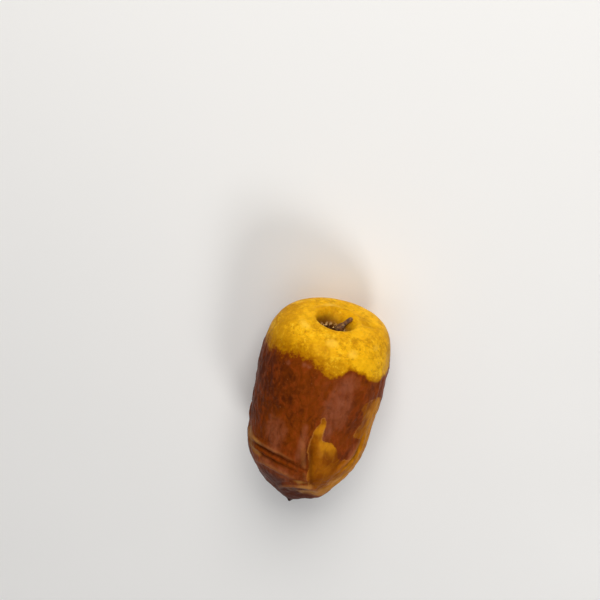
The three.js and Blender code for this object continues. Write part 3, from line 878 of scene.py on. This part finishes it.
def ball_places(mesh):
    """Where each corner of a ball goes on the skin: mm from the stalk pole, and degrees from the top."""
    ball = np.empty(len(mesh.vertices) * 3)
    mesh.vertices.foreach_get("co", ball)
    ball = ball.reshape(-1, 3)
    share = np.arccos(np.clip(-ball[:, 2], -1, 1)) / np.pi
    along = np.interp(share, (0, CROWDED_RINGS_SHARE, 1), (0, CROWDED_SKIN, skin_length))
    return along, np.arctan2(-ball[:, 0], -ball[:, 1]) / DEGREE


def face_place(round_, radius):
    """The place seen along the fruit's axis, as mm across and up."""
    return radius * np.sin(round_ * DEGREE), radius * np.cos(round_ * DEGREE)


def fruit_ends(along):
    """Which corners are in the third of the skin by the stalk, and in the third by the tip."""
    return along < skin_length / 3, along > 2 * skin_length / 3


def colour_patterns(along, round_, points, radius):
    """How much each colour and fine form covers every corner, by the names that the material reads."""
    at_stalk, at_tip = fruit_ends(along)
    ragged = field(points, size=2.8, seed=4, detail=3)
    blotches = field(points * (1, 0.7, 1), size=1.7, seed=6, detail=3)
    creases = field(points * (1, 0.5, 1), size=2.6, seed=7, detail=2)

    past_edge = along - ring_curve(round_, YELLOW_EDGE, 1) + EDGE_RAGGEDNESS * ragged
    ripeness = np.clip(0.5 + past_edge / ring_curve(round_, YELLOW_EDGE, 2) / 2, 0, 1)
    amber_depth = np.max([outline_depth(along, round_, radius, outline) for outline in AMBER_OUTLINES], 0)
    sides = smoothstep(*CREASED_SIDES, np.abs(turn_between(round_, 0)))

    across, up = face_place(round_, radius)
    _, pit_share = socket_depth(across, up)
    _, nib_distance = nib_height(across, up)
    tissue = np.where(at_stalk, smoothstep(*TORN_DEPTH, pit_share), 0)
    # Painted shade on the socket's steep side, deeper down
    shade = smoothstep(*SHADED_DEPTH, pit_share) * smoothstep(*SHADED_SIDE, across)
    patterns = {
        "ripeness": ripeness,
        "amber": np.clip(0.5 + (amber_depth + AMBER_RAGGEDNESS * ragged) / AMBER_EDGE_WIDTH, 0, 1),
        # Fine creases: they sink the skin, and the material paints shade into them
        "crease": bell(creases / CREASE_SHARE) * (CREASES_ON_TOP + (1 - CREASES_ON_TOP) * sides) * ripeness,
        "tissue": tissue,
        # Darker deeper into the socket: partly the wall's own brown and partly painted shade
        "socket_darkening": np.where(at_stalk, smoothstep(*DARKENED_DEPTH, pit_share + 0.1 * ragged), 0),
        "shade": np.where(at_stalk, shade, 0),
        "crumbs": bell(np.hypot(across - CRUMBS_AT[0], up - CRUMBS_AT[1]) / CRUMBS_REACH) * tissue,
        "nib": np.where(at_tip, bell(nib_distance / NIB_DARK_REACH), 0),
    }
    for name, (softness, places) in PATCHES.items():
        patterns[name] = patches(along, round_, radius, blotches, places, softness)
    return patterns


def grown_height(points, coarse, calm, patterns, shape):
    """Height over the bare skin: the coarse forms and the fine ones that each kind of skin has."""
    ripeness, tissue = patterns["ripeness"], patterns["tissue"]
    pebbles = field(points, size=2.4, seed=1) * shape.pebble_height / MM
    wrinkles = field(points * (1, 0.55, 1), size=1.3, seed=2, detail=3) * shape.wrinkle_height / MM
    torn = (field(points, size=0.5, seed=3, detail=3) + patterns["crumbs"]) * shape.tissue_height / MM
    dried = wrinkles * ripeness - patterns["crease"] * shape.crease_height / MM
    return calm * (coarse + pebbles * (1 - ripeness) + dried) + torn * tissue


class DATE_OT_fruit(bpy.types.Operator):
    """Add the fruit: a ball of fine cells whose corners move to their places on the skin"""
    bl_idname = "date.fruit"
    bl_label = "Fruit"

    def execute(self, context):
        bm = bmesh.new()
        bmesh.ops.create_uvsphere(bm, u_segments=CELLS_ROUND, v_segments=RINGS, radius=1)
        mesh = bpy.data.meshes.new("fruit_skin")
        bm.to_mesh(mesh)
        bm.free()
        along, round_ = ball_places(mesh)
        points, outward, radius = bare_skin(along, round_)

        # Forms are calmer where the fruit lies on the table
        touch, _, _ = bare_skin(np.array([FLAT_SPOT_ALONG]), np.array([180.0]))
        calm = 1 - bell(np.linalg.norm(points - touch, axis=1) / CALM_RADIUS)
        coarse, folds = relief(along, round_, points, radius)
        patterns = colour_patterns(along, round_, points, radius)
        patterns["fold"] = calm * folds
        height = grown_height(points, coarse, calm, patterns, context.scene.date_shape)

        # The socket and the nib are pushed in and out along the fruit's axis
        across, up = face_place(round_, radius)
        pit, _ = socket_depth(across, up)
        nib, _ = nib_height(across, up)
        points += outward * height[:, None]
        at_stalk, at_tip = fruit_ends(along)
        points[:, 1] += np.where(at_stalk, pit, 0)
        points[:, 1] += np.where(at_tip, nib, 0)

        points = points @ np.array(rest_matrix()).T
        points += rest_shift(points)
        points[:, 2] = np.maximum(points[:, 2], 0)
        mesh.vertices.foreach_set("co", (points * MM).ravel())
        for name, values in patterns.items():
            layer = mesh.attributes.new(name, "FLOAT", "POINT")
            layer.data.foreach_set("value", np.asarray(values, dtype=np.float32))

        bm = bmesh.new()
        bm.from_mesh(mesh)
        bmesh.ops.remove_doubles(bm, verts=bm.verts, dist=MERGE_DISTANCE)
        bmesh.ops.recalc_face_normals(bm, faces=bm.faces)
        bm.to_mesh(mesh)
        bm.free()
        piece = new_object("date_fruit_skin", mesh, skin_material(context.scene.date_colours))
        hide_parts("date_fruit")
        return {"FINISHED"}


class DATE_OT_scrap(bpy.types.Operator):
    """Add the dry scrap of stalk: frayed fibres that lean out of the socket"""
    bl_idname = "date.scrap"
    bl_label = "Stalk scrap"

    def execute(self, context):
        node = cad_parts["stalk_scrap"]
        bm = bmesh.new()
        bm.from_mesh(node.data)
        bmesh.ops.remove_doubles(bm, verts=bm.verts, dist=MERGE_DISTANCE)
        bmesh.ops.subdivide_edges(bm, edges=bm.edges, cuts=FRAY_CUTS, use_grid_fill=True, smooth=0.6)
        middle = sum((v.co for v in bm.verts), Vector()) / len(bm.verts)
        for v in bm.verts:
            out = (v.co - middle).normalized()
            lumps = noise.fractal(v.co / (FRAY_SIZE * MM), 1.0, 2.0, 3, noise_basis="PERLIN_ORIGINAL")
            v.co += out * FRAY_HEIGHT * MM * lumps
        bmesh.ops.recalc_face_normals(bm, faces=bm.faces)
        mesh = bpy.data.meshes.new("stalk_fibre")
        bm.to_mesh(mesh)
        bm.free()
        piece = new_object("stalk_scrap_fibre", mesh, scrap_material())
        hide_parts("stalk_scrap")
        return {"FINISHED"}


def turned_to_rest(direction):
    """A direction in the fruit's own axes, as it is when the fruit lies down."""
    return rest_matrix() @ Vector(direction)


class DATE_OT_stage(bpy.types.Operator):
    """Add the pale table, the soft lights and the camera"""
    bl_idname = "date.stage"
    bl_label = "Stage"

    def execute(self, context):
        settings = context.scene.date_stage
        bm = bmesh.new()
        bmesh.ops.create_grid(bm, x_segments=8, y_segments=8, size=settings.table_width / 2)
        mesh = bpy.data.meshes.new("table_top")
        bm.to_mesh(mesh)
        bm.free()
        table = bpy.data.objects.new("table_top", mesh)
        mesh.materials.append(table_material())
        context.scene.collection.objects.link(table)

        world = bpy.data.worlds.new("pale_room")
        world.use_nodes = True
        world.node_tree.nodes["Background"].inputs["Color"].default_value = SHADES["room"]
        world.node_tree.nodes["Background"].inputs["Strength"].default_value = settings.room_light
        context.scene.world = world

        self.add_light(context, "key", (0.02, -0.8, 0.62), 0.6, 0.32, settings.key_power, (1, 0.97, 0.92))
        self.add_light(context, "top", (-0.5, 0.5, 0.72), 0.6, 0.18, settings.top_power, (1, 0.98, 0.95))
        self.add_light(context, "fill", (0.1, 0.1, 1), 0.7, 0.5, settings.fill_power, (1, 1, 1))
        self.add_camera(context)
        context.scene.view_settings.view_transform = "Standard"
        return {"FINISHED"}

    def add_light(self, context, name, direction, distance, size, power, colour):
        light = bpy.data.lights.new(name, "AREA")
        light.size = size
        light.energy = power
        light.color = colour
        lamp = bpy.data.objects.new(name, light)
        back = Vector(direction).normalized()
        lamp.location = back * distance
        lamp.rotation_euler = (-back).to_track_quat("-Z", "Y").to_euler()
        lamp.visible_camera = False
        context.scene.collection.objects.link(lamp)

    def add_camera(self, context):
        """The camera is set from where the middle of the fruit stands in the photograph."""
        height = CAMERA_HEIGHT_ANGLE * DEGREE
        back = Vector((0, -math.cos(height), math.sin(height)))
        side = Vector((1, 0, 0))
        upright = back.cross(side)
        roll = math.pi + CAMERA_ROLL * DEGREE
        right = math.cos(roll) * side + math.sin(roll) * upright
        up = math.cos(roll) * upright - math.sin(roll) * side
        across = (FRUIT_CENTRE_PIXELS[0] - PHOTO_SIZE / 2) / FOCAL_LENGTH_PIXELS * CAMERA_DISTANCE
        above = -(FRUIT_CENTRE_PIXELS[1] - PHOTO_SIZE / 2) / FOCAL_LENGTH_PIXELS * CAMERA_DISTANCE
        along, round_ = np.meshgrid(np.linspace(0, skin_length, 120), np.linspace(-180, 180, 121))
        bare, _, _ = bare_skin(along.ravel(), round_.ravel())
        middle = Vector(rest_shift(bare @ np.array(rest_matrix()).T))
        place = back * CAMERA_DISTANCE - right * across - up * above
        location = (rest_matrix() @ place + middle) * MM
        axes = Matrix((turned_to_rest(right), turned_to_rest(up), turned_to_rest(back))).transposed()
        data = bpy.data.cameras.new("camera")
        data.sensor_width = SENSOR
        data.lens = SENSOR * FOCAL_LENGTH_PIXELS / PHOTO_SIZE
        data.clip_start = 0.005
        camera = bpy.data.objects.new("camera", data)
        camera.matrix_world = Matrix.Translation(location) @ axes.to_4x4()
        context.scene.collection.objects.link(camera)
        context.scene.camera = camera


class DATE_PT_panel(bpy.types.Panel):
    """Sidebar panel that lists the pieces and their settings"""
    bl_idname = "DATE_PT_panel"
    bl_label = "Saidi date"
    bl_space_type = "VIEW_3D"
    bl_region_type = "UI"
    bl_category = "Date"

    def draw(self, context):
        for settings in (context.scene.date_shape, context.scene.date_colours, context.scene.date_stage):
            box = self.layout.box()
            for name in settings.__annotations__:
                box.prop(settings, name)
        for operator in (DATE_OT_fruit, DATE_OT_scrap, DATE_OT_stage):
            self.layout.operator(operator.bl_idname)


CLASSES = (
    DateShape, DateColours, StageSettings,
    DATE_OT_fruit, DATE_OT_scrap, DATE_OT_stage, DATE_PT_panel,
)


def register():
    for cls in CLASSES:
        bpy.utils.register_class(cls)
    bpy.types.Scene.date_shape = bpy.props.PointerProperty(type=DateShape)
    bpy.types.Scene.date_colours = bpy.props.PointerProperty(type=DateColours)
    bpy.types.Scene.date_stage = bpy.props.PointerProperty(type=StageSettings)


def unregister():
    del bpy.types.Scene.date_stage
    del bpy.types.Scene.date_colours
    del bpy.types.Scene.date_shape
    for cls in reversed(CLASSES):
        bpy.utils.unregister_class(cls)


def main():
    register()
    bpy.ops.date.fruit()
    bpy.ops.date.scrap()
    bpy.ops.date.stage()


if __name__ == "__main__":
    main()
